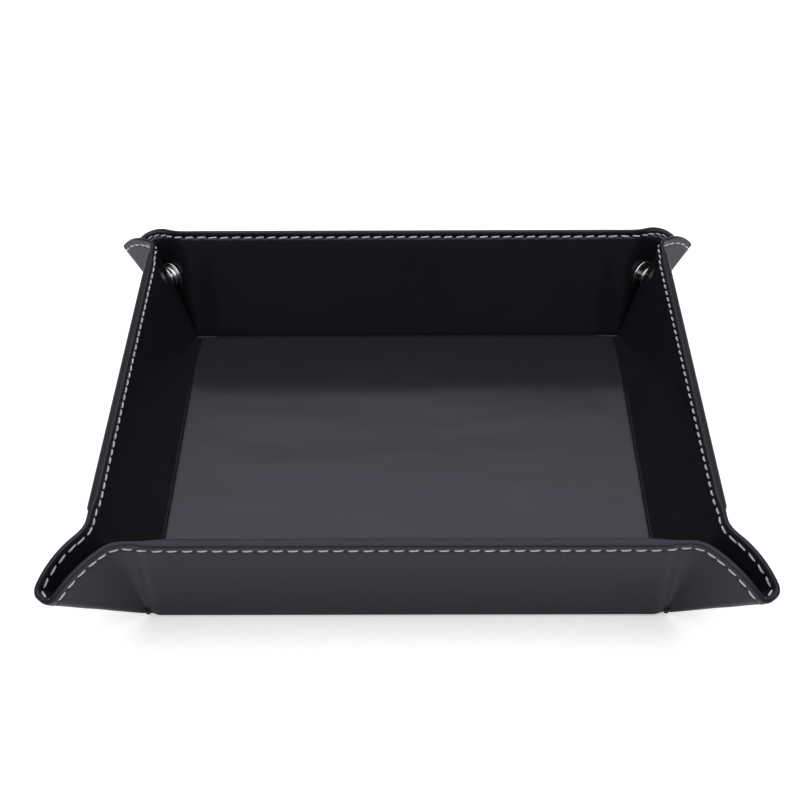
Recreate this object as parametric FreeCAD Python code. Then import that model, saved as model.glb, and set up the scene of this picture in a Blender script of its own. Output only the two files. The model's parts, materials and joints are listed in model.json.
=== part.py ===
import FreeCAD, Part
import math
import os

# Snap-corner leather tray, +Z up, millimetres. The origin is at the middle of
# the underside. One stitched sheet (cover, boards, lining) is drawn flat and
# folded: four walls turn up about the edges of the base, and the soft square
# at each corner is pinched outwards into an ear that a press stud holds shut.
# Each ear is two mirrored halves. A half is three flat facets that meet on
# lines through the base corner: a tab in the plane of its wall, a flap that
# stands beside its twin, and a narrow lip that closes the ear underneath.

# Driving dimensions: the sheet
base_side = 170.0          # floor, from fold line to fold line
wall_slant = 43.5          # fold line to rim, measured up the wall
wall_lean = 21.0           # degrees, walls lean outwards from upright
sheet_corner_radius = 31.0
cover_thickness = 0.9
lining_thickness = 0.9
board_thickness = 1.6

# Seams, folds and clearances
fold_gap = 0.3             # free gap beside each round fold edge
board_gap = 0.6            # board edge back from the start of the leather
rim_seam = 1.2             # cover and lining closed over the board's top edge
end_seam = 1.5             # the same at the ends of a board
panel_end = 2.0            # full-thickness panel stops this far from the corner
tab_root = 9.0             # leather cut back round the base corner on a wall
ear_root = 14.0            # and on an ear
crease_clearance = 0.35    # each lip's edge back from the middle of the ear

# Press studs
snap_radius = 5.5
snap_stack = 4.2           # leather to leather at a closed stud
snap_edge = 0.6            # flange edge past the fold between tab and flap
snap_seat = 0.2            # flange pressed into the leather at its middle
flange_thickness = 0.7
cup_radius = 4.4
cup_lip = 0.3              # thickness of the inturned mouth
cup_mouth_radius = 2.45
cup_bore_radius = 2.9
head_radius = 1.95
neck_radius = 1.5
head_height = 0.9
head_reach = 1.0           # head past the middle of the ear
spring_wire = 0.22
post_radius = 1.2
backing_radius = 4.5
backing_thickness = 0.4

# Lock stitches
stitch_pitch = 4.7
stitch_length = 3.4
stitch_width = 0.8
stitch_height = 0.25
stitch_inset = 2.6         # stitch line below the rim

# Worked out from the above
half_side = base_side / 2
panel_thickness = cover_thickness + board_thickness + lining_thickness
ear_thickness = cover_thickness + lining_thickness
half_panel = panel_thickness / 2
half_ear = ear_thickness / 2
panel_start = half_panel + fold_gap
fold_angle = 90.0 - wall_lean
outer_skin = -half_panel + cover_thickness     # board's outer face, from the middle
inner_skin = half_panel - lining_thickness     # board's inner face
cut_size = 3 * wall_slant

x_axis = FreeCAD.Vector(1, 0, 0)
y_axis = FreeCAD.Vector(0, 1, 0)
z_axis = FreeCAD.Vector(0, 0, 1)

# Each wall's name, its turn about Z and the names of its two ends
walls = [
    ("front", 0, {1: "right", -1: "left"}),
    ("right", 90, {1: "rear", -1: "front"}),
    ("rear", 180, {1: "left", -1: "right"}),
    ("left", 270, {1: "front", -1: "rear"}),
]


def turned(vector, axis, degrees):
    return FreeCAD.Rotation(axis, degrees).multVec(vector)


def fit_ear():
    """Angles of one ear half, measured round the base corner in degrees.

    tab and lip are the fold lines, flap_fold and lip_fold the angles folded
    there. The flap starts parallel to the middle plane of the ear, at the
    distance that the closed stud needs, and the lip drops square onto it.
    """
    lean = math.radians(wall_lean)
    quarter = math.pi / 4
    tab = 0.2
    lip = 0.7
    reach = 5 * snap_radius
    snap = 0.4
    for _ in range(60):
        flap_width = 2 * snap_radius + snap_edge + half_ear + 2 * fold_gap
        reach = flap_width / (2 * math.sin((lip - tab) / 2))
        snap = tab + math.asin((snap_radius + snap_edge) / reach)
        offset = (snap_stack + ear_thickness) / 2 / reach / math.cos(snap - tab)
        shape = math.hypot(1, math.sin(lean))
        tab = math.acos(math.sqrt(2) * offset / shape) - math.atan2(1, math.sin(lean))
        lip = quarter - math.asin(math.cos(lip - tab) * offset)
    middle = FreeCAD.Vector(-1, -1, 0).normalize()      # out of the middle plane
    up = turned(z_axis, x_axis, -fold_angle)
    along = turned(FreeCAD.Vector(math.cos(tab), math.sin(tab), 0), x_axis, -fold_angle)
    flap_fold = math.atan(along.dot(middle) / up.dot(middle))
    start = turned(FreeCAD.Vector(math.sin(tab), -math.cos(tab), 0), x_axis, -fold_angle)
    flap_along = along * math.cos(flap_fold) - up * math.sin(flap_fold)
    flap_up = along * math.sin(flap_fold) + up * math.cos(flap_fold)
    sweep = lip - tab
    edge = start * math.cos(sweep) + flap_along * math.sin(sweep)
    edge_along = flap_along * math.cos(sweep) - start * math.sin(sweep)
    down = (edge * middle.dot(edge) - middle).normalize()
    lip_fold = math.atan2(down.dot(flap_up), down.dot(edge_along))
    return {
        "tab": math.degrees(tab), "lip": math.degrees(lip), "snap": math.degrees(snap),
        "reach": reach, "flap_fold": math.degrees(flap_fold), "lip_fold": math.degrees(lip_fold),
        "stud_axis": middle,
    }


ear = fit_ear()


def ray(angle, end):
    """Unit vector of a line through the corner, in the flat front wall."""
    turn = math.radians(angle)
    return FreeCAD.Vector(end * math.sin(turn), -math.cos(turn), 0)


def corner(end):
    return FreeCAD.Vector(end * half_side, -half_side, half_panel)


def plate(wire, low, high):
    """Flat plate from an outline at the middle height of the sheet."""
    blank = Part.Face(wire).extrude(z_axis * (high - low))
    blank.translate(z_axis * low)
    return blank


def block(x_range, out_range, low, high):
    """Box on the front wall: along it, outwards from its fold line, and up."""
    box = Part.makeBox(x_range[1] - x_range[0], out_range[1] - out_range[0], high - low)
    box.translate(FreeCAD.Vector(x_range[0], -half_side - out_range[1], half_panel + low))
    return box


def corner_blank(end, low, high):
    """The half of the sheet's rounded corner square that is next to the wall."""
    inset = panel_end + end_seam / 2
    flat_run = wall_slant - sheet_corner_radius
    diagonal = flat_run * math.sqrt(2) + sheet_corner_radius
    centre = FreeCAD.Vector(end * flat_run, -flat_run, 0)
    tip = ray(45, end) * diagonal
    mid_turn = math.radians(22.5)
    arc_mid = centre + FreeCAD.Vector(end * math.sin(mid_turn), -math.cos(mid_turn), 0) * sheet_corner_radius
    points = [
        FreeCAD.Vector(0, 0, 0),
        FreeCAD.Vector(-end * inset, 0, 0),
        FreeCAD.Vector(-end * inset, -wall_slant, 0),
        FreeCAD.Vector(end * flat_run, -wall_slant, 0),
    ]
    placed = [corner(end) + point for point in points]
    edges = [Part.LineSegment(a, b).toShape() for a, b in zip(placed, placed[1:])]
    far = corner(end) + tip
    edges.append(Part.Arc(placed[-1], corner(end) + arc_mid, far).toShape())
    edges.append(Part.LineSegment(far, placed[0]).toShape())
    return plate(Part.Wire(edges), low, high)


def side_of(angle, end, gap, keep):
    """Half plane beside a fold line: keep is 1 past the line, -1 before it."""
    line = ray(angle, end)
    across = turned(line, z_axis, 90 * end) * keep
    start = corner(end) + across * gap
    points = [start - line * cut_size, start + line * cut_size,
              start + line * cut_size + across * cut_size,
              start - line * cut_size + across * cut_size]
    points.append(points[0])
    return plate(Part.makePolygon(points), -cut_size, cut_size)


def root_cut(end, radius):
    return Part.makeCylinder(radius, 2 * cut_size, corner(end) - z_axis * cut_size, z_axis)


def fold_edge(angle, end):
    """Round edge of the leather on a fold line of the ear."""
    start = corner(end) + ray(angle, end) * ear_root
    length = wall_slant - half_panel - ear_root
    return Part.makeCylinder(half_ear, length, start, ray(angle, end))


def fold_wall(shape):
    folded = shape.copy()
    folded.rotate(FreeCAD.Vector(0, -half_side, half_panel), x_axis, -fold_angle)
    return folded


def fold_flap(shape, end):
    folded = shape.copy()
    folded.rotate(corner(end), ray(ear["tab"], end), -end * ear["flap_fold"])
    return fold_wall(folded)


def fold_lip(shape, end):
    folded = shape.copy()
    folded.rotate(corner(end), ray(ear["lip"], end), end * ear["lip_fold"])
    return fold_flap(folded, end)


def tab_leather(end, low, high):
    """Soft tab in the plane of a wall, past the end of its board."""
    tab = corner_blank(end, low, high)
    tab = tab.common(side_of(ear["tab"], end, half_ear + fold_gap, -1))
    near_fold = block((-cut_size * 2, cut_size * 2), (-cut_size, panel_start), -cut_size, cut_size)
    return tab.cut(root_cut(end, tab_root)).cut(near_fold)


def wall_skin(side):
    """Cover (side -1) or lining (side 1) of one wall, flat, with its tabs."""
    face = half_panel * side
    skin = outer_skin if side < 0 else inner_skin
    crown = wall_slant - half_panel
    turn = math.sqrt(0.5) * half_panel
    length = half_side - panel_end

    def point(out, level):
        return FreeCAD.Vector(-length, -half_side - out, half_panel + level)

    edges = [Part.LineSegment(point(panel_start, face), point(crown, face)).toShape(),
             Part.Arc(point(crown, face), point(crown + turn, turn * side),
                      point(wall_slant, 0)).toShape()]
    inner = [point(wall_slant, 0), point(wall_slant - rim_seam, 0),
             point(wall_slant - rim_seam, skin), point(panel_start, skin), point(panel_start, face)]
    edges += [Part.LineSegment(a, b).toShape() for a, b in zip(inner, inner[1:])]
    shell = Part.Face(Part.Wire(edges)).extrude(x_axis * 2 * length)
    low, high = sorted((0, skin))
    for end in (1, -1):
        x_range = sorted((end * length, end * (length - end_seam)))
        shell = shell.fuse(block(x_range, (panel_start, wall_slant - rim_seam), low, high))
        shell = shell.fuse(tab_leather(end, *sorted((0, half_ear * side))))
    return shell.removeSplitter()


def wall_board():
    length = half_side - panel_end - end_seam
    return block((-length, length), (panel_start + board_gap, wall_slant - rim_seam),
                 outer_skin, inner_skin)


def wall_stitching():
    """Lock stitches on both faces of one wall, below its rim."""
    count = int(2 * (half_side - panel_end) / stitch_pitch)
    line = wall_slant - stitch_inset
    out_range = (line - stitch_width / 2, line + stitch_width / 2)
    stitches = []
    for index in range(count):
        middle = (index - (count - 1) / 2) * stitch_pitch
        x_range = (middle - stitch_length / 2, middle + stitch_length / 2)
        stitches.append(block(x_range, out_range, half_panel, half_panel + stitch_height))
        stitches.append(block(x_range, out_range, -half_panel - stitch_height, -half_panel))
    return Part.makeCompound(stitches)


def base_skin(side):
    """Cover (side -1) or lining (side 1) of the base, with round fold edges."""
    skin = outer_skin if side < 0 else inner_skin
    face = half_panel * side
    low, high = sorted((face, skin))
    sheet = Part.makeBox(base_side, base_side, high - low,
                         FreeCAD.Vector(-half_side, -half_side, half_panel + low))
    low, high = sorted((0, skin))
    ring = Part.makeBox(base_side, base_side, high - low,
                        FreeCAD.Vector(-half_side, -half_side, half_panel + low))
    inside = half_side - end_seam
    ring = ring.cut(Part.makeBox(2 * inside, 2 * inside, high - low,
                                 FreeCAD.Vector(-inside, -inside, half_panel + low)))
    sheet = sheet.fuse(ring)
    turn = math.sqrt(0.5) * half_panel
    centre = FreeCAD.Vector(-half_side, -half_side, half_panel)
    top = centre + z_axis * face
    out = centre - y_axis * half_panel
    mid = centre - y_axis * turn + z_axis * turn * side
    edges = [Part.LineSegment(centre, top).toShape(), Part.Arc(top, mid, out).toShape(),
             Part.LineSegment(out, centre).toShape()]
    roll = Part.Face(Part.Wire(edges)).extrude(x_axis * base_side)
    for _, turn_about_z, _ in walls:
        edge_roll = roll.copy()
        edge_roll.rotate(FreeCAD.Vector(0, 0, 0), z_axis, turn_about_z)
        sheet = sheet.fuse(edge_roll)
    return sheet.removeSplitter()


def base_board():
    inside = half_side - end_seam - board_gap
    return Part.makeBox(2 * inside, 2 * inside, board_thickness,
                        FreeCAD.Vector(-inside, -inside, half_panel + outer_skin))


def stud_frame(end):
    """Middle of the closed stud and its axis out of the ear, on the front wall."""
    axis = FreeCAD.Vector(end * ear["stud_axis"].x, ear["stud_axis"].y, 0)
    seat = fold_flap(Part.Vertex(corner(end) + ray(ear["snap"], end) * ear["reach"]), end).Point
    return seat - axis * (seat - corner(end)).dot(axis), axis


def disc(end, radius, start, height):
    """Round slice on the stud's axis, from start out towards the leather."""
    middle, axis = stud_frame(end)
    return Part.makeCylinder(radius, height, middle + axis * start, axis)


def snap_socket(end):
    """Socket: flange, cup and inturned mouth, bored for the post."""
    back = snap_stack / 2 + snap_seat
    mouth = fold_gap / 2
    front = back - flange_thickness
    part = disc(end, snap_radius, front, flange_thickness)
    part = part.fuse(disc(end, cup_radius, mouth, back - mouth))
    part = part.cut(disc(end, cup_mouth_radius, mouth, cup_lip))
    part = part.cut(disc(end, cup_bore_radius, mouth + cup_lip, front - mouth - cup_lip))
    return part.cut(disc(end, post_radius, front, flange_thickness)).removeSplitter()


def snap_spring(end):
    """Ring spring inside the socket, behind its mouth."""
    middle, axis = stud_frame(end)
    level = fold_gap / 2 + cup_lip + spring_wire + 0.05
    return Part.makeTorus(cup_bore_radius - spring_wire - 0.02, spring_wire, middle + axis * level, axis)


def snap_stud(end):
    """Stud: flange, neck and round-edged head that enters the socket."""
    back = snap_stack / 2 + snap_seat
    front = back - flange_thickness
    part = disc(end, snap_radius, front, flange_thickness)
    part = part.fuse(disc(end, neck_radius, -head_reach, back + head_reach))
    head = disc(end, head_radius, -head_reach, head_height)
    head = head.makeFillet(head_height * 0.45, [edge for edge in head.Edges
                                                if isinstance(edge.Curve, Part.Circle)])
    return part.fuse(head).cut(disc(end, post_radius, front, flange_thickness)).removeSplitter()


def snap_backing(end):
    """Backing washer between cover and lining, with the post through the lining."""
    centre = corner(end) + ray(ear["snap"], end) * ear["reach"]
    bottom = -half_ear + cover_thickness - backing_thickness
    washer = Part.makeCylinder(backing_radius, backing_thickness, centre + z_axis * bottom, z_axis)
    front = snap_stack / 2 + snap_seat - flange_thickness
    post = disc(end, post_radius, front, flange_thickness - snap_seat + half_ear + backing_thickness / 2)
    return fold_flap(washer, end).fuse(post).removeSplitter()


def ear_flap(end, hardware):
    """Cover and lining of one flap, with the seat pressed in by its hardware."""
    flap = corner_blank(end, -half_ear, half_ear)
    flap = flap.common(side_of(ear["tab"], end, 0, 1))
    flap = flap.common(side_of(ear["lip"], end, half_ear + fold_gap, -1))
    flap = flap.cut(root_cut(end, ear_root)).fuse(fold_edge(ear["tab"], end)).removeSplitter()
    flap = fold_flap(flap, end)
    for piece in hardware:
        flap = flap.cut(piece)
    return flap


def ear_lip(end):
    lip = corner_blank(end, -half_ear, half_ear)
    lip = lip.common(side_of(ear["lip"], end, 0, 1))
    lip = lip.common(side_of(45, end, crease_clearance, -1))
    lip = lip.cut(root_cut(end, ear_root)).fuse(fold_edge(ear["lip"], end))
    return fold_lip(lip.removeSplitter(), end)


def write(name, shape, turn_about_z=0):
    placed = shape.copy()
    placed.rotate(FreeCAD.Vector(0, 0, 0), z_axis, turn_about_z)
    if not placed.isValid():
        print("not valid:", name)
    placed.exportStep("parts/" + name + ".step")


os.makedirs("parts", exist_ok=True)

write("base_cover", base_skin(-1))
write("base_board", base_board())
write("base_lining", base_skin(1))

wall_pieces = {
    "cover": fold_wall(wall_skin(-1)),
    "board": fold_wall(wall_board()),
    "lining": fold_wall(wall_skin(1)),
    "stitching": fold_wall(wall_stitching()),
}
ear_pieces = {}
for end in (1, -1):
    snap = {"socket": snap_socket(end)} if end == 1 else {"stud": snap_stud(end)}
    snap["backing"] = snap_backing(end)
    pieces = {"leather": ear_flap(end, snap.values()), "lip": ear_lip(end)}
    if end == 1:
        snap["spring"] = snap_spring(end)
    ear_pieces[end] = {**pieces, **snap}

for wall, turn_about_z, ends in walls:
    for piece, shape in wall_pieces.items():
        write(wall + "_wall_" + piece, shape, turn_about_z)
    for end, pieces in ear_pieces.items():
        for piece, shape in pieces.items():
            write(wall + "_ear_" + ends[end] + "_" + piece, shape, turn_about_z)

print("wall fold %.4f, flap fold %.4f, lip fold %.4f degrees"
      % (fold_angle, ear["flap_fold"], ear["lip_fold"]))
for end in (1, -1):
    tab_line = fold_wall(Part.Vertex(corner(end) + ray(ear["tab"], end))).Point - corner(end)
    lip_line = fold_flap(Part.Vertex(corner(end) + ray(ear["lip"], end)), end).Point - corner(end)
    print("end %+d: corner %s, tab line %s, lip line %s" % (end, corner(end), tab_line, lip_line))
print("snap at %.2f mm from the corner, %.2f degrees" % (ear["reach"], ear["snap"]))
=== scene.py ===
import json
import math

import bpy
import numpy as np
from mathutils import Matrix, Vector, noise


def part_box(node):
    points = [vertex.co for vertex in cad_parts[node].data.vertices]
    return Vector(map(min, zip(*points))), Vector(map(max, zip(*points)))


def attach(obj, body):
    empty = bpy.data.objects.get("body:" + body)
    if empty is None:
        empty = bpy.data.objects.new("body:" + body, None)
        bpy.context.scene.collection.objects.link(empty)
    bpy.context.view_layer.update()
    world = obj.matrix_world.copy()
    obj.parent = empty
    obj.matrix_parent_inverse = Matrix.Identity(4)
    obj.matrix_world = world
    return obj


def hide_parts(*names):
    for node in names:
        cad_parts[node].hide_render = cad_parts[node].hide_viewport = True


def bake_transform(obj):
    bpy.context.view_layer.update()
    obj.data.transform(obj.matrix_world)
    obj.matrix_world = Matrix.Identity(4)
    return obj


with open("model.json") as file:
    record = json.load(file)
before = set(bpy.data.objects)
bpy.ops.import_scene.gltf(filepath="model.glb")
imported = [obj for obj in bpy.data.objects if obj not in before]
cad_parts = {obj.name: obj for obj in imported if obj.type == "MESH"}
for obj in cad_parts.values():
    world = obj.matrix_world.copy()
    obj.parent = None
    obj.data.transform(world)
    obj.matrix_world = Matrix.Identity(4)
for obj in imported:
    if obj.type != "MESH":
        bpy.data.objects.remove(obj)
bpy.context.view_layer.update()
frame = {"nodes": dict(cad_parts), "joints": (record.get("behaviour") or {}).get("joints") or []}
joints = {joint["name"]: joint for joint in frame["joints"]}
print("frame loaded:", len(frame["nodes"]), "nodes")

mm = 0.001

# the flat sheet; its fold lines come from the frame
sheetCut = {
    "foldAngle": math.radians(joints["front_wall_fold"]["range_deg"][1]),
    "halfSide": -joints["front_wall_fold"]["pos_m"][1],
    "midHeight": joints["front_wall_fold"]["pos_m"][2],
    "wallSlant": 43.5 * mm,      # fold line to rim
    "cornerRadius": 31 * mm,     # rounded corner of the flat sheet
    "boardedHalf": 1.7 * mm,     # half the thickness over the boards
    "softHalf": 0.92 * mm,       # and where there is only leather
    "leather": 0.8 * mm,         # one layer
    "foldBand": 2.0 * mm,        # a narrower band each side of the fold line
    "foldBlend": 1.8 * mm,       # and where the leather changes bodies
    "mitre": 4 * mm,             # wall pieces start this far inside the fold
    "boardGap": 0.8 * mm,        # the board ends this far short of the wall's end
    "coverTaper": 3.2 * mm,      # the cover drops off the board's end sharply
    "liningTaper": 9 * mm,       # and the lining slowly
    "cornerTaper": 3 * mm,       # back to full thickness inside the fold line
}

# stitch line and turned edge
rimTrim = {
    "crown": 1.15 * mm,          # height of the rounded top
    "crownPower": 0.62,          # below 1 is squarer than a half round
    "turnedEdge": 1.7 * mm,      # the cover turns over the rim down to here
    "stitchInset": 2.6 * mm,
    "pitch": 4.7 * mm,
    "grooveDepth": 0.26 * mm,
    "grooveWidth": 0.75 * mm,
    "groovePull": 0.35,          # deeper between stitches, where the thread dives in
    "liningRecess": 0.14 * mm,
    "recessFrom": 7 * mm,        # the lining starts to sink this far from the rim
    "recessRun": 3 * mm,         # and is all the way down this much nearer
    "parallelBand": 6 * mm,      # rows this near the rim follow its outline
}

# soft unevenness of the leather
surface = {
    "crease": 0.3 * mm,          # depth of the fold line outside
    "creaseWidth": 1.5 * mm,
    "swell": 0.09 * mm,
    "fineSwell": 0.04 * mm,
    "swellScale": (42, 60, 3.7), # per metre along a wall and up it, and per side
    "swellFineness": 2.7,
    "foldFade": (3 * mm, 6 * mm),    # no swell this near the fold, growing over the second
    "rimFade": (1.5 * mm, 5 * mm),   # the same at the rim
    "ripple": 0.07 * mm,         # on the floor
    "fineRipple": 0.02 * mm,
    "rippleScale": (22, 60, 1.3),
    "rippleFineness": 2.3,
    "calmEdge": 9 * mm,          # the ripple dies away over this, towards the floor's edge
}

# the pinched corner, as turns of the leather round the base corner
earShape = {
    "tabTurn": math.radians(9.1),    # middle of the bend from wall to flap
    "tabBend": math.radians(8.0),    # and half its width
    "lipTurn": math.radians(40.8),   # middle of the bend from flap to lip
    "lipBend": math.radians(4.1),
    "step": math.radians(0.25),
    "pieceJoin": math.radians(30.5), # flap piece ends and lip piece starts
    "tabMiddle": 30 * mm,            # out along the fold line from the corner
    "tabBlend": 3.6 * mm,            # a band width each side of the flap's middle
    "lipMiddle": 36 * mm,
    "lipBlend": (2.8 * mm, 1.3 * mm),
    "firstRow": 0.8 * mm,            # an ear's rows start above this
    "root": 0.9 * mm,                # nothing comes nearer to the corner
    "pinch": 0.085,                  # inner half thickness, at most this share of the reach
    "cornerBall": 1.15 * mm,         # gathered leather at the base corner
    "ballSwell": 0.04,
    "ballScale": 900,
    "ridge": 0.32 * mm,              # the cover stands up where the board ends
    "ridgeWidth": 1.5 * mm,
    "ridgeRise": 9 * mm,             # from the fold line up
    "ridgeFade": (3.2 * mm, 6 * mm), # gone this near the rim, growing over the second
    "dimple": 0.20 * mm,             # the cover is drawn in behind the press stud
    "dimpleWidth": 6.5 * mm,
    "dimpleAlong": 16 * mm,          # past the wall's end
    "dimpleUp": 24 * mm,             # above the fold line
}

walls = [("front", 0, "right", "left"), ("right", 1, "rear", "front"),
         ("rear", 2, "left", "right"), ("left", 3, "front", "rear")]

tabAxis = Vector(joints["front_ear_right_fold"]["axis"])
wallEnd = Vector((0, -math.cos(sheetCut["foldAngle"]), math.sin(sheetCut["foldAngle"])))
tabFold = math.radians(joints["front_ear_right_fold"]["range_deg"][1])
lipFold = math.radians(joints["front_ear_right_lip_fold"]["range_deg"][1])
middleOut = Vector((-1, -1, 0)).normalized()     # out of the ear's middle plane
quarter = math.pi / 4


def smooth(t):
    t = max(0.0, min(1.0, t))
    return t * t * (3 - 2 * t)


def fadeIn(distance, fade):
    start, run = fade
    return smooth((distance - start) / run)


def deselectAll():
    if bpy.context.mode != "OBJECT":
        bpy.ops.object.mode_set(mode="OBJECT")
    bpy.ops.object.select_all(action="DESELECT")


# the shape of the folded sheet

def traceEar(tabTotal, lipTotal):
    # directions of the leather's rays from the corner, at rest, every step
    ray, along = wallEnd.copy(), Vector((1, 0, 0))
    rays, normals = [ray.copy()], [ray.cross(along)]
    count = round(quarter / earShape["step"])
    for index in range(count):
        here = (index + 0.5) * earShape["step"]
        bend = 0.0
        for centre, width, total in ((earShape["tabTurn"], earShape["tabBend"], -tabTotal),
                                     (earShape["lipTurn"], earShape["lipBend"], lipTotal)):
            share = (here - centre) / width
            if abs(share) < 1:
                bend += total * 15 / 16 * (1 - share * share) ** 2 / width
        up = ray.cross(along)
        forward = Matrix.Rotation(earShape["step"], 3, up)
        ray, along = forward @ ray, forward @ along
        along = Matrix.Rotation(bend * earShape["step"], 3, ray) @ along
        rays.append(ray.copy())
        normals.append(ray.cross(along))
    return rays, normals, along


def closeEar():
    # the two folds that bring the lip square onto the ear's middle plane
    folds = np.array([tabFold, lipFold])

    def miss(pair):
        rays, _, along = traceEar(pair[0], pair[1])
        level = middleOut.cross(rays[-1])
        return np.array([rays[-1].dot(middleOut), along.dot(level)])

    for _ in range(8):
        now = miss(folds)
        slope = np.array([(miss(folds + nudge) - now) / 1e-4
                          for nudge in (np.array([1e-4, 0]), np.array([0, 1e-4]))]).T
        folds = folds - np.linalg.solve(slope, now)
    print("ear folds closed at", np.degrees(folds).round(1), "degrees")
    return traceEar(folds[0], folds[1])


earRays, earNormals, _ = closeEar()
corner = Vector((sheetCut["halfSide"], -sheetCut["halfSide"], sheetCut["midHeight"]))


def earDirection(turn):
    place = max(0.0, min(turn / earShape["step"], len(earRays) - 1.001))
    low = int(place)
    share = place - low
    return (earRays[low].lerp(earRays[low + 1], share),
            earNormals[low].lerp(earNormals[low + 1], share).normalized())


def rimReach(turn):
    # distance from the corner to the cut edge, and the slant of the ray to it
    flatRun = sheetCut["wallSlant"] - sheetCut["cornerRadius"]
    reach = sheetCut["wallSlant"] / math.cos(turn)
    if reach * math.sin(turn) <= flatRun:
        return reach, math.cos(turn)
    half = flatRun * (math.sin(turn) + math.cos(turn))
    reach = half + math.sqrt(half * half - 2 * flatRun ** 2 + sheetCut["cornerRadius"] ** 2)
    outward = Vector((reach * math.sin(turn) - flatRun, reach * math.cos(turn) - flatRun)).normalized()
    return reach, outward.dot(Vector((math.sin(turn), math.cos(turn))))


def rowReach(turn, v):
    # a wall's height v carried round the corner
    reach, slant = rimReach(turn)
    top = rimTrim["parallelBand"]
    if v > sheetCut["wallSlant"] - top:
        return reach - (sheetCut["wallSlant"] - v) / slant
    return v * (reach - top / slant) / (sheetCut["wallSlant"] - top)


def wallPoint(x, v, n):
    band = sheetCut["foldBand"]
    angle = sheetCut["foldAngle"] * smooth((v + band) / (2 * band))
    out = v * math.cos(angle) - n * math.sin(angle)
    up = v * math.sin(angle) + n * math.cos(angle)
    return Vector((x, -sheetCut["halfSide"] - out, sheetCut["midHeight"] + up))


def earPoint(turn, v, n):
    direction, normal = earDirection(turn)
    reach = max(rowReach(turn, v), earShape["root"])
    if n > 0:
        n = min(n, earShape["pinch"] * reach)
    return corner + direction * reach + normal * n


def halfThickness(x, v, side):
    # thick over the boards, thin in the ears
    past = sheetCut["halfSide"] - abs(x) - sheetCut["boardGap"]
    full = smooth(past / (sheetCut["liningTaper"] if side > 0 else sheetCut["coverTaper"]))
    full = max(full, smooth(-v / sheetCut["cornerTaper"]))
    return sheetCut["softHalf"] + full * (sheetCut["boardedHalf"] - sheetCut["softHalf"])


def stitchPhase(place):
    # place runs along the stitch line from the middle of a wall, in metres
    return math.cos(2 * math.pi * place / rimTrim["pitch"])


def stitchPlace(turn):
    line = sheetCut["wallSlant"] - rimTrim["stitchInset"]
    flatRun = sheetCut["wallSlant"] - sheetCut["cornerRadius"]
    if line * math.tan(turn) <= flatRun:
        return line * math.tan(turn)
    reach, _ = rimReach(turn)
    sweep = math.atan2(reach * math.sin(turn) - flatRun, reach * math.cos(turn) - flatRun)
    return flatRun + sweep * (sheetCut["cornerRadius"] - rimTrim["stitchInset"])


def relief(x, v, place, side):
    # stitch groove, fold crease and the soft unevenness of the leather
    inset = sheetCut["wallSlant"] - v
    groove = math.exp(-((inset - rimTrim["stitchInset"]) / rimTrim["grooveWidth"]) ** 2)
    depth = -rimTrim["grooveDepth"] * groove * (1 + rimTrim["groovePull"] * stitchPhase(place))
    crease = -surface["crease"] * math.exp(-(v / surface["creaseWidth"]) ** 2) if side < 0 else 0.0
    fade = fadeIn(v, surface["foldFade"]) * fadeIn(inset, surface["rimFade"])
    along, up, across = surface["swellScale"]
    spot = Vector((place * along, v * up, side * across))
    swell = surface["swell"] * noise.noise(spot)
    swell += surface["fineSwell"] * noise.noise(spot * surface["swellFineness"])
    if side < 0:
        past = abs(x) - sheetCut["halfSide"]
        rise = smooth(v / earShape["ridgeRise"]) * fadeIn(inset, earShape["ridgeFade"])
        swell += earShape["ridge"] * math.exp(-(past / earShape["ridgeWidth"]) ** 2) * rise
        away = math.hypot(past - earShape["dimpleAlong"], v - earShape["dimpleUp"])
        swell -= earShape["dimple"] * math.exp(-(away / earShape["dimpleWidth"]) ** 2)
    return depth + crease + fade * swell


def sectionRows(kind):
    # from the base out to the rim; cover rows go on over the rim
    slant = sheetCut["wallSlant"]
    low = [-4, -3.2, -2.5, -1.9, -1.4, -0.9, -0.45, 0, 0.45, 0.9, 1.4, 1.9, 2.5, 3.2, 4.2]
    low += [5.5 + 2.2 * step for step in range(14)]
    insets = [6, 5.1, 4.4, 3.8, 3.4, 3.1, 2.85, 2.6, 2.35, 2.1, 1.85]
    rows = [(v * mm, 1.0) for v in low if v * mm < slant - 6.5 * mm]
    rows += [(slant - inset * mm, 1.0) for inset in insets]
    if kind == "lining":
        return rows
    rows = [(v, -1.0) for v, _ in rows] + [(slant - 1.5 * mm, -1.0)]
    crown, power = rimTrim["crown"], rimTrim["crownPower"]
    for step in range(13):
        angle = math.pi * step / 12
        across = -math.copysign(abs(math.cos(angle)) ** power, math.cos(angle))
        rows.append((slant - crown * (1 - math.sin(angle) ** power), across))
    return rows + [(slant - 1.5 * mm, 1.0), (slant - rimTrim["turnedEdge"], 0.985)]


def surfaceOffset(x, v, place, side, kind):
    n = side * halfThickness(x, v, side)
    if abs(side) > 0.9:
        n += side * relief(x, v, place, side)
    if kind == "lining":
        inset = sheetCut["wallSlant"] - v
        n -= rimTrim["liningRecess"] * smooth((rimTrim["recessFrom"] - inset) / rimTrim["recessRun"])
    return n


# sheets of leather

def flipFaces():
    bpy.ops.object.mode_set(mode="EDIT")
    bpy.ops.mesh.select_all(action="SELECT")
    bpy.ops.mesh.flip_normals()
    bpy.ops.object.mode_set(mode="OBJECT")


def meshCopy(model, name):
    copy = model.copy()
    copy.data = model.data.copy()
    copy.name = name
    copy.data.name = name
    bpy.context.scene.collection.objects.link(copy)
    return copy


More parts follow.
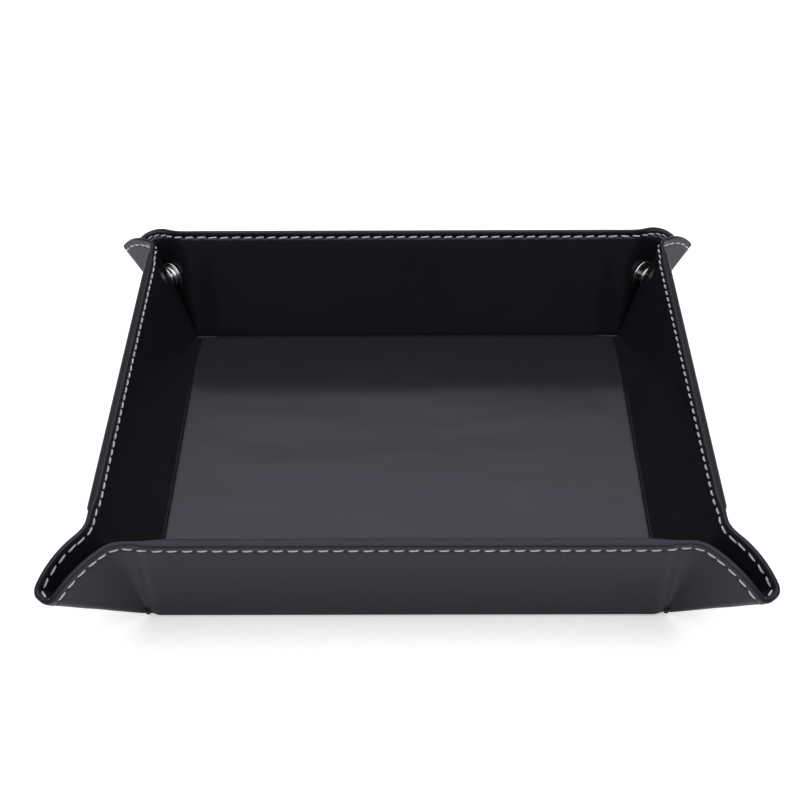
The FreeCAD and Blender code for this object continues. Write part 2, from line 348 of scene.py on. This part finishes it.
def gridSheet(name, columns, rows, placePoint):
    # a flat grid whose points are then laid on the folded sheet
    deselectAll()
    bpy.ops.mesh.primitive_grid_add(x_subdivisions=columns - 1, y_subdivisions=rows - 1, size=2)
    sheet = bpy.context.active_object
    sheet.name = name
    sheet.data.name = name
    for vertex in sheet.data.vertices:
        column = round((vertex.co.x + 1) / 2 * (columns - 1))
        row = round((vertex.co.y + 1) / 2 * (rows - 1))
        vertex.co = placePoint(column, row)
    return sheet


def thicken(sheet, outward, thickness):
    # faces are turned to look outward, then the leather grows inward
    face = sheet.data.polygons[len(sheet.data.polygons) // 2]
    if face.normal.dot(outward(face.center)) < 0:
        flipFaces()
    solid = sheet.modifiers.new("leather", "SOLIDIFY")
    solid.thickness = thickness
    solid.offset = -1
    bpy.ops.object.modifier_apply(modifier="leather")
    bpy.ops.object.shade_smooth_by_angle(angle=math.radians(42))
    return sheet


def turnedCopy(sheet, name, quarterTurns, mirrored=False):
    deselectAll()
    copy = meshCopy(sheet, name)
    bpy.context.view_layer.objects.active = copy
    copy.select_set(True)
    if mirrored:
        copy.data.transform(Matrix.Scale(-1, 4, Vector((1, 0, 0))))
        flipFaces()
    copy.data.transform(Matrix.Rotation(quarterTurns * math.pi / 2, 4, "Z"))
    return copy


def wallSheet(kind, side):
    rows = sectionRows(kind)
    halfSide = sheetCut["halfSide"]
    columns = 4 * int(halfSide * 2 / rimTrim["pitch"]) + 5

    def place(column, row):
        v, across = rows[row]
        x = halfSide * (2 * column / (columns - 1) - 1)
        n = surfaceOffset(x, v, x, across, kind)
        width = 1 + min(v, 0) / halfSide      # mitred on the base
        return wallPoint(x * width, v, n)

    sheet = gridSheet("wall_" + kind, columns, len(rows), place)
    outward = Vector((0, side * math.sin(sheetCut["foldAngle"]), side * math.cos(sheetCut["foldAngle"])))
    return thicken(sheet, lambda centre: outward, sheetCut["leather"])


def earSheet(kind, side, fromTurn, toTurn, columns, name):
    rows = [row for row in sectionRows(kind) if row[0] > earShape["firstRow"]]

    def place(column, row):
        v, across = rows[row]
        turn = fromTurn + (toTurn - fromTurn) * column / (columns - 1)
        x = sheetCut["halfSide"] + v * math.tan(turn)
        run = stitchPlace(turn)
        n = surfaceOffset(x, v, sheetCut["halfSide"] + run, across, kind)
        return earPoint(turn, v, n)

    sheet = gridSheet(name, columns, len(rows), place)

    def outward(centre):
        offset = centre - corner
        turn = min((earRays[i].angle(offset), i) for i in range(len(earRays)))[1] * earShape["step"]
        return earDirection(turn)[1] * side

    return thicken(sheet, outward, sheetCut["leather"])


def quarterTurned(vector, quarterTurns):
    return Matrix.Rotation(quarterTurns * math.pi / 2, 3, "Z") @ vector


def mirrorX(vector, mirrored):
    return Vector((-vector.x, vector.y, vector.z)) if mirrored else vector


wallAlong = wallEnd.cross(tabAxis).cross(tabAxis).normalized()
if wallAlong.dot(Vector((1, 0, 0))) < 0:
    wallAlong.negate()


def blendTurned(piece):
    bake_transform(piece)


def basePiece(name, level, facing):
    inner = sheetCut["halfSide"] - sheetCut["mitre"]
    count = 81
    scaleX, scaleY, layer = surface["rippleScale"]

    def place(column, row):
        x = inner * (2 * column / (count - 1) - 1)
        y = inner * (2 * row / (count - 1) - 1)
        edge = smooth((inner - max(abs(x), abs(y))) / surface["calmEdge"])
        spot = Vector((x * scaleX, y * scaleY, layer))
        ripple = surface["ripple"] * noise.noise(spot)
        ripple += surface["fineRipple"] * noise.noise(spot * surface["rippleFineness"])
        return Vector((x, y, level + (edge * ripple if facing > 0 else 0.0)))

    sheet = gridSheet(name, count, count, place)
    return thicken(sheet, lambda centre: Vector((0, 0, facing)), sheetCut["leather"])


# stitches

threadShape = {
    "length": 3.5 * mm,
    "width": 0.72 * mm,
    "height": 0.6 * mm,
    "lift": 0.14 * mm,          # middle of the strand above the bottom of the groove
    "slant": math.radians(6),   # each stitch lies a little across the seam
    "dive": 0.9,                # how far its ends go down, in half heights
    "wander": 0.07 * mm,
    "wanderScale": 900,
    "wanderTurn": 40,
    "earCount": 8,              # from a wall's end to the lip's tip
}


def stitchModel():
    # one lock stitch: a flattened strand whose ends dive into the leather
    deselectAll()
    bpy.ops.mesh.primitive_uv_sphere_add(segments=8, ring_count=8, radius=1)
    stitch = bpy.context.active_object
    stitch.name = "stitch_model"
    stitch.data.transform(Matrix.Rotation(math.pi / 2, 4, "Y"))
    for vertex in stitch.data.vertices:
        along = vertex.co.x
        fat = math.sqrt(max(0.0, 1 - along ** 6))
        ring = max(1e-6, math.sqrt(max(1e-9, 1 - along * along)))
        vertex.co.y *= fat / ring if abs(along) < 0.999 else 1
        vertex.co.z *= fat / ring if abs(along) < 0.999 else 1
        vertex.co.z -= threadShape["dive"] * abs(along) ** 4
        vertex.co.x *= threadShape["length"] / 2
        vertex.co.y *= threadShape["width"] / 2
        vertex.co.z *= threadShape["height"] / 2
    bpy.ops.object.shade_smooth()
    return stitch


def layStitches(name, model, spots):
    # each spot is a centre, the run of the seam and the way out of the leather
    parts = []
    for centre, run, out in spots:
        run = (run - out * run.dot(out)).normalized()
        run = Matrix.Rotation(threadShape["slant"], 3, out) @ run
        side = out.cross(run)
        copy = meshCopy(model, name)
        turn = Matrix((run, side, out)).transposed().to_4x4()
        copy.data.transform(Matrix.Translation(centre) @ turn)
        parts.append(copy)
    deselectAll()
    for part in parts:
        part.select_set(True)
    bpy.context.view_layer.objects.active = parts[0]
    bpy.ops.object.join()
    return bpy.context.active_object


def wallSpots():
    spots = []
    line = sheetCut["wallSlant"] - rimTrim["stitchInset"]
    count = int(sheetCut["halfSide"] * 2 / rimTrim["pitch"])
    for index in range(count):
        x = (index - (count - 1) / 2) * rimTrim["pitch"]
        wobble = threadShape["wander"] * noise.noise(Vector((x * threadShape["wanderScale"], 0.5, 0)))
        for side in (1, -1):
            n = side * (halfThickness(x, line, side) - rimTrim["grooveDepth"] + threadShape["lift"])
            here = wallPoint(x, line + wobble, n)
            out = wallPoint(x, line, n + side * mm) - wallPoint(x, line, n)
            lean = threadShape["wanderTurn"] * wobble / mm
            slope = Vector((1, 0, 0)) + (wallPoint(x, line + mm, n) - here) * lean
            spots.append((here, slope, out.normalized()))
    return spots


def earSpots(lip):
    spots = []
    line = sheetCut["wallSlant"] - rimTrim["stitchInset"]
    total = stitchPlace(quarter)
    onWall = int(sheetCut["halfSide"] * 2 / rimTrim["pitch"])
    first = (onWall + 1) / 2 * rimTrim["pitch"] - sheetCut["halfSide"]
    count = threadShape["earCount"]
    pitch = (total - first) / (count - 0.5)
    for index in range(count):
        place = first + index * pitch
        low, high = 0.0, quarter
        for _ in range(30):
            turn = (low + high) / 2
            if stitchPlace(turn) < place:
                low = turn
            else:
                high = turn
        if (turn > earShape["pieceJoin"]) != lip:
            continue
        for side in (1, -1):
            n = side * (sheetCut["softHalf"] - rimTrim["grooveDepth"] + threadShape["lift"])
            here = earPoint(turn, line, n)
            run = earPoint(turn + 0.01, line, n) - earPoint(turn - 0.01, line, n)
            out = earDirection(turn)[1] * side
            spots.append((here, run, out))
    return spots


# press studs, turned about their own axis

snapShape = {
    "back": 2.3 * mm,         # flange back from the middle of the ear
    "flange": 0.7 * mm,
    "flangeRadius": 5.7 * mm,
    "mouth": 0.15 * mm,       # front of the cup from the middle of the ear
    "cupRadius": 4.4 * mm,
    "shoulder": 0.55 * mm,
    "mouthRadius": 2.45 * mm,
    "boreRadius": 2.9 * mm,
    "lipDepth": 0.3 * mm,
    "postRadius": 1.15 * mm,
    "neckRadius": 1.5 * mm,
    "headRadius": 1.95 * mm,
    "headFront": -1.0 * mm,
    "headBack": -0.1 * mm,
    "segments": 40,
    "bead": 1.08,             # the rolled edge, to half the flange's thickness
    "seatDepth": 0.1 * mm,    # groove where the cup meets the flange
    "seatWidth": 0.18 * mm,
    "mouthRound": 0.15 * mm,
    "headUnder": 0.15 * mm,
    "fillet": 0.5 * mm,
    "padRadius": 3.0 * mm,    # low pad round the stud's foot
    "padFoot": 3.3 * mm,
    "padHeight": 0.12 * mm,
}


def roundCorner(centre, radius, fromAngle, toAngle, steps=5):
    angles = [math.radians(fromAngle + (toAngle - fromAngle) * i / steps) for i in range(steps + 1)]
    return [(centre[0] + radius * math.cos(a), centre[1] + radius * math.sin(a)) for a in angles]


def flangeEdge():
    # front face of the flange, its rolled edge and its back
    shape = snapShape
    front = shape["back"] - shape["flange"]
    half = shape["flange"] / 2
    rim = shape["flangeRadius"] - half
    bead = roundCorner((rim, front + half), half * shape["bead"], -100, 90, 8)
    return [(shape["cupRadius"] + shape["seatWidth"], front + shape["seatDepth"])] + bead


def socketSection():
    shape = snapShape
    front = shape["back"] - shape["flange"]
    shoulder = (shape["cupRadius"] - shape["shoulder"], shape["mouth"] + shape["shoulder"])
    section = [(shape["postRadius"], front), (shape["boreRadius"], front)]
    section += [(shape["boreRadius"], shape["mouth"] + shape["lipDepth"])]
    rounding = shape["mouthRound"]
    section += roundCorner((shape["mouthRadius"] + rounding, shape["mouth"] + rounding),
                           rounding, 180, 270, 3)
    section += roundCorner(shoulder, shape["shoulder"], -90, 0)
    section += [(shape["cupRadius"], front - shape["seatDepth"])]
    return section + flangeEdge() + [(shape["postRadius"], shape["back"])]


def studSection():
    shape = snapShape
    front = shape["back"] - shape["flange"]
    middle = (shape["headFront"] + shape["headBack"]) / 2
    bulge = (shape["headBack"] - shape["headFront"]) / 2
    section = [(0.0, shape["headFront"])]
    section += roundCorner((shape["headRadius"] - bulge, middle), bulge, -90, 60, 8)
    section += [(shape["neckRadius"], shape["headBack"] + shape["headUnder"])]
    fillet = shape["fillet"]
    section += roundCorner((shape["neckRadius"] + fillet, front - fillet), fillet, 180, 90, 4)
    section += [(shape["padRadius"], front - shape["padHeight"]), (shape["padFoot"], front)]
    return section + flangeEdge() + [(0.0, shape["back"])]


def turnSection(name, section):
    # the section's loop is spun all the way round and its seam closed
    deselectAll()
    bpy.ops.mesh.primitive_circle_add(vertices=len(section), radius=1)
    part = bpy.context.active_object
    part.name = name
    for vertex, (radius, along) in zip(part.data.vertices, section):
        vertex.co = (radius, 0, along)
    bpy.ops.object.mode_set(mode="EDIT")
    bpy.ops.mesh.select_all(action="SELECT")
    bpy.ops.mesh.spin(steps=snapShape["segments"], angle=2 * math.pi, center=(0, 0, 0), axis=(0, 0, 1))
    bpy.ops.mesh.select_all(action="SELECT")
    bpy.ops.mesh.remove_doubles(threshold=1e-6)
    bpy.ops.mesh.normals_make_consistent(inside=False)
    bpy.ops.object.mode_set(mode="OBJECT")
    bpy.ops.object.shade_smooth_by_angle(angle=math.radians(40))
    return part


def fitSnap(model, name, node, cornerPoint, outward):
    # the stud's axis goes through the middle of its node, square to the ear's middle plane
    low, high = (Vector(point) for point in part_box(node))
    middle = (low + high) / 2
    origin = middle - outward * (middle - cornerPoint).dot(outward)
    across = outward.cross(Vector((0, 0, 1)))
    turn = Matrix((across, outward.cross(across), outward)).transposed().to_4x4()
    part = meshCopy(model, name)
    part.data.transform(Matrix.Translation(origin) @ turn)
    return part


# materials

def newMaterial(name):
    material = bpy.data.materials.new(name)
    material.use_nodes = True
    nodes = material.node_tree.nodes
    nodes.clear()
    output = nodes.new("ShaderNodeOutputMaterial")
    shader = nodes.new("ShaderNodeBsdfPrincipled")
    output.location = (500, 0)
    shader.location = (200, 0)
    material.node_tree.links.new(shader.outputs["BSDF"], output.inputs["Surface"])
    return material, nodes, material.node_tree.links, shader


def addNode(nodes, kind, place, **values):
    node = nodes.new(kind)
    node.location = place
    for key, value in values.items():
        if key in node.inputs:
            node.inputs[key].default_value = value
        else:
            setattr(node, key, value)
    return node


def leatherGroup():
    # pebbled grain, pores and slow clouding of a coated leather
    group = bpy.data.node_groups.new("leatherGrain", "ShaderNodeTree")
    for label, value in (("Pebble size", 1500.0), ("Pebble depth", 0.5), ("Cloud size", 30.0)):
        socket = group.interface.new_socket(label, in_out="INPUT", socket_type="NodeSocketFloat")
        socket.default_value = value
    for label in ("Height", "Cloud", "Pore"):
        group.interface.new_socket(label, in_out="OUTPUT", socket_type="NodeSocketFloat")
    nodes, links = group.nodes, group.links
    given = addNode(nodes, "NodeGroupInput", (-900, 0))
    made = addNode(nodes, "NodeGroupOutput", (700, 0))
    where = addNode(nodes, "ShaderNodeTexCoord", (-900, -250))
    bend = addNode(nodes, "ShaderNodeTexNoise", (-650, -450), Scale=700.0, Detail=2.0)
    warped = addNode(nodes, "ShaderNodeVectorMath", (-450, -300), operation="MULTIPLY_ADD")
    warped.inputs[1].default_value = (0.0005, 0.0005, 0.0005)
    pebble = addNode(nodes, "ShaderNodeTexVoronoi", (-200, 100), feature="SMOOTH_F1", Smoothness=0.45)
    fine = addNode(nodes, "ShaderNodeTexNoise", (-200, -200), Scale=5200.0, Detail=3.0, Roughness=0.6)
    cloud = addNode(nodes, "ShaderNodeTexNoise", (-200, -450), Detail=4.0, Roughness=0.55)
    deep = addNode(nodes, "ShaderNodeMath", (50, 100), operation="MULTIPLY")
    both = addNode(nodes, "ShaderNodeMath", (250, 50), operation="MULTIPLY_ADD")
    both.inputs[1].default_value = 0.25
    pore = addNode(nodes, "ShaderNodeMapRange", (250, -200))
    pore.inputs["From Min"].default_value = 0.28
    pore.inputs["From Max"].default_value = 0.55
    links.new(where.outputs["Object"], bend.inputs["Vector"])
    links.new(bend.outputs["Color"], warped.inputs[0])
    links.new(where.outputs["Object"], warped.inputs[2])
    links.new(warped.outputs["Vector"], pebble.inputs["Vector"])
    links.new(given.outputs["Pebble size"], pebble.inputs["Scale"])
    links.new(where.outputs["Object"], fine.inputs["Vector"])
    links.new(where.outputs["Object"], cloud.inputs["Vector"])
    links.new(given.outputs["Cloud size"], cloud.inputs["Scale"])
    links.new(pebble.outputs["Distance"], deep.inputs[0])
    links.new(given.outputs["Pebble depth"], deep.inputs[1])
    links.new(fine.outputs["Fac"], both.inputs[0])
    links.new(deep.outputs["Value"], both.inputs[2])
    links.new(both.outputs["Value"], made.inputs["Height"])
    links.new(cloud.outputs["Fac"], made.inputs["Cloud"])
    links.new(fine.outputs["Fac"], pore.inputs["Value"])
    links.new(pore.outputs["Result"], made.inputs["Pore"])
    return group


def leatherMaterial(name, grain, look):
    material, nodes, links, shader = newMaterial(name)
    group = addNode(nodes, "ShaderNodeGroup", (-500, 0))
    group.node_tree = grain
    group.inputs["Pebble size"].default_value = look["pebbleSize"]
    group.inputs["Pebble depth"].default_value = look["pebbleDepth"]
    group.inputs["Cloud size"].default_value = look["cloudSize"]
    colour = addNode(nodes, "ShaderNodeMix", (-200, 200), data_type="RGBA")
    colour.inputs[6].default_value = (*look["dark"], 1)
    colour.inputs[7].default_value = (*look["light"], 1)
    gloss = addNode(nodes, "ShaderNodeMapRange", (-200, -50))
    gloss.inputs["To Min"].default_value = look["gloss"][0]
    gloss.inputs["To Max"].default_value = look["gloss"][1]
    bump = addNode(nodes, "ShaderNodeBump", (-50, -300), Strength=look["bump"], Distance=0.0001)
    links.new(group.outputs["Cloud"], colour.inputs[0])
    links.new(colour.outputs[2], shader.inputs["Base Color"])
    links.new(group.outputs["Cloud"], gloss.inputs["Value"])
    links.new(gloss.outputs["Result"], shader.inputs["Roughness"])
    links.new(group.outputs["Height"], bump.inputs["Height"])
    links.new(bump.outputs["Normal"], shader.inputs["Normal"])
    shader.inputs["Specular IOR Level"].default_value = look["specular"]
    shader.inputs["Specular Tint"].default_value = look["tint"]
    return material


def threadMaterial(name, look):
    # waxed thread: fine slanted ply lines along each stitch
    material, nodes, links, shader = newMaterial(name)
    where = addNode(nodes, "ShaderNodeUVMap", (-900, 0))
    ply = addNode(nodes, "ShaderNodeTexWave", (-600, 0), Scale=look["ply"], Distortion=0.6, Detail=2.0)
    ply.bands_direction = "DIAGONAL"
    fuzz = addNode(nodes, "ShaderNodeTexNoise", (-600, -300), Scale=look["fuzz"], Detail=2.0)
    place = addNode(nodes, "ShaderNodeTexCoord", (-900, -300))
    colour = addNode(nodes, "ShaderNodeMix", (-200, 150), data_type="RGBA")
    colour.inputs[6].default_value = (*look["dark"], 1)
    colour.inputs[7].default_value = (*look["light"], 1)
    bump = addNode(nodes, "ShaderNodeBump", (-50, -200), Strength=look["bump"], Distance=0.0001)
    links.new(where.outputs["UV"], ply.inputs["Vector"])
    links.new(place.outputs["Object"], fuzz.inputs["Vector"])
    links.new(ply.outputs["Fac"], colour.inputs[0])
    links.new(colour.outputs[2], shader.inputs["Base Color"])
    links.new(ply.outputs["Fac"], bump.inputs["Height"])
    links.new(bump.outputs["Normal"], shader.inputs["Normal"])
    rough = addNode(nodes, "ShaderNodeMapRange", (-200, -400))
    rough.inputs["To Min"].default_value = look["gloss"][0]
    rough.inputs["To Max"].default_value = look["gloss"][1]
    links.new(fuzz.outputs["Fac"], rough.inputs["Value"])
    links.new(rough.outputs["Result"], shader.inputs["Roughness"])
    return material


def metalMaterial(name, look):
    material, nodes, links, shader = newMaterial(name)
    place = addNode(nodes, "ShaderNodeTexCoord", (-900, 0))
    marks = addNode(nodes, "ShaderNodeTexNoise", (-600, 0), Scale=look["scratch"], Detail=4.0)
    rough = addNode(nodes, "ShaderNodeMapRange", (-250, -100))
    rough.inputs["To Min"].default_value = look["roughness"] * 0.7
    rough.inputs["To Max"].default_value = look["roughness"] * 1.4
    tint = addNode(nodes, "ShaderNodeMix", (-250, 200), data_type="RGBA")
    tint.inputs[6].default_value = (*[0.88 * c for c in look["colour"]], 1)
    tint.inputs[7].default_value = (*look["colour"], 1)
    bump = addNode(nodes, "ShaderNodeBump", (-50, -300), Strength=0.06, Distance=0.0001)
    links.new(place.outputs["Object"], marks.inputs["Vector"])
    links.new(marks.outputs["Fac"], rough.inputs["Value"])
    links.new(marks.outputs["Fac"], tint.inputs[0])
    links.new(tint.outputs[2], shader.inputs["Base Color"])
    links.new(rough.outputs["Result"], shader.inputs["Roughness"])
    links.new(marks.outputs["Fac"], bump.inputs["Height"])
    links.new(bump.outputs["Normal"], shader.inputs["Normal"])
    shader.inputs["Metallic"].default_value = 1.0
    return material


def boardMaterial(name, look):
    material, nodes, links, shader = newMaterial(name)
    place = addNode(nodes, "ShaderNodeTexCoord", (-900, 0))
    pulp = addNode(nodes, "ShaderNodeTexNoise", (-600, 0), Scale=look["pulp"], Detail=5.0)
    colour = addNode(nodes, "ShaderNodeMix", (-250, 150), data_type="RGBA")
    colour.inputs[6].default_value = (*look["dark"], 1)
    colour.inputs[7].default_value = (*look["light"], 1)
    bump = addNode(nodes, "ShaderNodeBump", (-50, -200), Strength=look["bump"], Distance=0.0001)
    links.new(place.outputs["Object"], pulp.inputs["Vector"])
    links.new(pulp.outputs["Fac"], colour.inputs[0])
    links.new(colour.outputs[2], shader.inputs["Base Color"])
    links.new(pulp.outputs["Fac"], bump.inputs["Height"])
    links.new(bump.outputs["Normal"], shader.inputs["Normal"])
    shader.inputs["Roughness"].default_value = look["roughness"]
    return material


grain = leatherGroup()
coverLook = {"dark": (0.012, 0.0115, 0.015), "light": (0.019, 0.018, 0.023), "gloss": (0.27, 0.35),
             "pebbleSize": 1400.0, "pebbleDepth": 0.6, "cloudSize": 45.0, "bump": 0.20,
             "specular": 0.33, "tint": (0.74, 0.73, 1.0, 1)}
liningLook = {"dark": (0.008, 0.0075, 0.010), "light": (0.012, 0.0115, 0.0145), "gloss": (0.13, 0.19),
              "pebbleSize": 1700.0, "pebbleDepth": 0.5, "cloudSize": 25.0, "bump": 0.10,
              "specular": 0.5, "tint": (0.73, 0.72, 1.0, 1)}
coverLeather = leatherMaterial("cover_leather", grain, coverLook)
liningLeather = leatherMaterial("lining_leather", grain, liningLook)
threadLook = {"dark": (0.50, 0.50, 0.52), "light": (0.80, 0.80, 0.82), "gloss": (0.5, 0.7),
              "ply": 5.0, "fuzz": 3000.0, "bump": 0.5}
nickelLook = {"colour": (0.80, 0.79, 0.77), "roughness": 0.16, "scratch": 1200.0}
steelLook = {"colour": (0.55, 0.55, 0.57), "roughness": 0.30, "scratch": 2500.0}
boardLook = {"dark": (0.22, 0.20, 0.18), "light": (0.42, 0.40, 0.36), "roughness": 0.9,
             "pulp": 900.0, "bump": 0.3}
thread = threadMaterial("waxed_thread", threadLook)
nickel = metalMaterial("nickel_plate", nickelLook)
steel = metalMaterial("spring_steel", steelLook)
board = boardMaterial("grey_board", boardLook)


def dress(piece, material):
    piece.data.materials.clear()
    piece.data.materials.append(material)
    return piece


# building

floorLining = dress(basePiece("floor_lining", sheetCut["midHeight"] + sheetCut["boardedHalf"], 1),
                    liningLeather)
underCover = dress(basePiece("under_cover", 0.0, -1), coverLeather)
for piece, node in ((floorLining, "base_lining"), (underCover, "base_cover")):
    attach(piece, "base")
    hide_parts(node)
print("base covered")

layers = {"cover": (-1, coverLeather, "leather"), "lining": (1, liningLeather, "lining")}
models = []
for kind, (side, material, slotName) in layers.items():
    wallModel = wallSheet(kind, side)
    flapModel = earSheet(kind, side, 0.0, earShape["pieceJoin"], 27, "flap_" + kind)
    lipModel = earSheet(kind, side, earShape["pieceJoin"], quarter, 25, "lip_" + kind)
    models += [wallModel, flapModel, lipModel]
    for wall, turns, plusEnd, minusEnd in walls:
        piece = dress(turnedCopy(wallModel, wall + "_" + kind, turns), material)
        blendTurned(piece)
        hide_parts(wall + "_wall_" + kind)
        for end, mirrored in ((plusEnd, False), (minusEnd, True)):
            ear = wall + "_ear_" + end
            flap = turnedCopy(flapModel, ear + "_flap_" + kind, turns, mirrored)
            dress(flap, material)
            blendTurned(flap)
            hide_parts(ear + "_leather")
            lip = turnedCopy(lipModel, ear + "_lip_" + kind, turns, mirrored)
            dress(lip, material)
            blendTurned(lip)
            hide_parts(ear + "_lip")
print("walls and ears covered")

stitch = stitchModel()
wallSeam = layStitches("wall_seam", stitch, wallSpots())
flapSeam = layStitches("flap_seam", stitch, earSpots(False))
lipSeam = layStitches("lip_seam", stitch, earSpots(True))
models += [stitch, wallSeam, flapSeam, lipSeam]
for wall, turns, plusEnd, minusEnd in walls:
    seam = dress(turnedCopy(wallSeam, wall + "_stitches", turns), thread)
    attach(seam, wall + "_wall")
    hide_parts(wall + "_wall_stitching")
    for end, mirrored in ((plusEnd, False), (minusEnd, True)):
        ear = wall + "_ear_" + end
        seam = dress(turnedCopy(flapSeam, ear + "_stitches", turns, mirrored), thread)
        blendTurned(seam)
        seam = dress(turnedCopy(lipSeam, ear + "_lip_stitches", turns, mirrored), thread)
        blendTurned(seam)
for model in models:
    bpy.data.objects.remove(model)
print("stitches laid")

socketModel = turnSection("socket_model", socketSection())
studModel = turnSection("stud_model", studSection())
for wall, turns, plusEnd, minusEnd in walls:
    for end, mirrored, kind, model in ((plusEnd, False, "socket", socketModel),
                                       (minusEnd, True, "stud", studModel)):
        ear = wall + "_ear_" + end
        cornerPoint = quarterTurned(mirrorX(corner, mirrored), turns)
        outward = quarterTurned(mirrorX(middleOut, mirrored), turns)
        part = fitSnap(model, ear + "_press_" + kind, ear + "_" + kind, cornerPoint, outward)
        dress(part, nickel)
        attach(part, ear)
        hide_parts(ear + "_" + kind)
bpy.data.objects.remove(socketModel)
bpy.data.objects.remove(studModel)
print("press studs fitted")

deselectAll()
bpy.ops.mesh.primitive_uv_sphere_add(segments=20, ring_count=12, radius=earShape["cornerBall"])
ballModel = bpy.context.active_object
ballModel.name = "corner_model"
for vertex in ballModel.data.vertices:
    vertex.co *= 1 + earShape["ballSwell"] * noise.noise(vertex.co * earShape["ballScale"])
ballModel.data.transform(Matrix.Translation(corner))
bpy.ops.object.shade_smooth()
for wall, turns, plusEnd, _ in walls:
    ball = turnedCopy(ballModel, "base_corner_" + wall + "_" + plusEnd, turns)
    dress(ball, coverLeather)
    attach(ball, "base")
bpy.data.objects.remove(ballModel)

for name, node in frame["nodes"].items():
    if name.endswith(("_spring", "_backing")):
        dress(node, steel)
    elif name.endswith("_board"):
        dress(node, board)

# stage

studio = {
    "floorSize": 6.0,
    "floorDrop": 0.2 * mm,       # clear of the tray's underside
    "tentBrightness": 2.0,
    "tentHeights": ((0.0, 0.04), (0.53, 0.07), (0.580, 0.60), (0.82, 0.62), (0.96, 1.0)),
    "floorGlow": 0.05,           # what the leather mirrors
    "floorGlowSeen": 0.50,       # and what the eye sees, nearly white
}


def buildTent():
    # a white tent, dark near the ground and brightest overhead
    world = bpy.data.worlds.new("light_tent")
    bpy.context.scene.world = world
    world.use_nodes = True
    nodes, links = world.node_tree.nodes, world.node_tree.links
    background = nodes["Background"]
    where = addNode(nodes, "ShaderNodeTexCoord", (-1100, 0))
    parts = addNode(nodes, "ShaderNodeSeparateXYZ", (-900, 0))
    cloth = addNode(nodes, "ShaderNodeValToRGB", (-700, 0))
    stops = cloth.color_ramp.elements
    while len(stops) < len(studio["tentHeights"]):
        stops.new(0.5)
    for stop, (height, share) in zip(stops, studio["tentHeights"]):
        stop.position = height
        stop.color = (share, share, share, 1)
    bright = addNode(nodes, "ShaderNodeMath", (-400, 0), operation="MULTIPLY")
    bright.inputs[1].default_value = studio["tentBrightness"]
    seen = addNode(nodes, "ShaderNodeLightPath", (-400, 300))
    strength = addNode(nodes, "ShaderNodeMix", (-200, 100))
    strength.inputs["B"].default_value = 1.0
    links.new(where.outputs["Generated"], parts.inputs[0])
    links.new(parts.outputs["Z"], cloth.inputs["Fac"])
    links.new(cloth.outputs["Color"], bright.inputs[0])
    links.new(seen.outputs["Is Camera Ray"], strength.inputs["Factor"])
    links.new(bright.outputs[0], strength.inputs["A"])
    links.new(strength.outputs["Result"], background.inputs["Strength"])
    background.inputs["Color"].default_value = (1, 1, 1, 1)


deselectAll()
bpy.ops.mesh.primitive_plane_add(size=studio["floorSize"], location=(0, 0, -studio["floorDrop"]))
table = bpy.context.active_object
table.name = "table"
paper, nodes, links, shader = newMaterial("white_acrylic")
shader.inputs["Base Color"].default_value = (0.95, 0.95, 0.95, 1)
shader.inputs["Roughness"].default_value = 0.9
shader.inputs["Specular IOR Level"].default_value = 0.1
shader.inputs["Emission Color"].default_value = (1, 1, 1, 1)
seen = addNode(nodes, "ShaderNodeLightPath", (-500, -200))
glow = addNode(nodes, "ShaderNodeMix", (-250, -200))
glow.inputs["A"].default_value = studio["floorGlow"]
glow.inputs["B"].default_value = studio["floorGlowSeen"]
links.new(seen.outputs["Is Camera Ray"], glow.inputs["Factor"])
links.new(glow.outputs["Result"], shader.inputs["Emission Strength"])
table.data.materials.append(paper)
buildTent()
bpy.context.scene.view_settings.view_transform = "Standard"

view = {
    "place": (1.9 * mm, -558.2 * mm, 400.8 * mm),
    "pitch": 33.73,              # down from level, degrees
    "yaw": -0.45,
    "roll": -0.40,
    "lens": 84.27,
}
cameraData = bpy.data.cameras.new("camera")
cameraData.lens = view["lens"]
camera = bpy.data.objects.new("camera", cameraData)
bpy.context.scene.collection.objects.link(camera)
pitch, yaw = math.radians(view["pitch"]), math.radians(view["yaw"])
forward = Vector((math.sin(yaw) * math.cos(pitch), math.cos(yaw) * math.cos(pitch), -math.sin(pitch)))
right = Vector((math.cos(yaw), -math.sin(yaw), 0))
upward = right.cross(forward)
tilt = math.radians(view["roll"])
right, upward = (right * math.cos(tilt) + upward * math.sin(tilt),
                 upward * math.cos(tilt) - right * math.sin(tilt))
turn = Matrix((right, upward, -forward)).transposed().to_4x4()
camera.matrix_world = Matrix.Translation(view["place"]) @ turn
cameraData.clip_start = 0.01
bpy.context.scene.camera = camera
print("stage set")
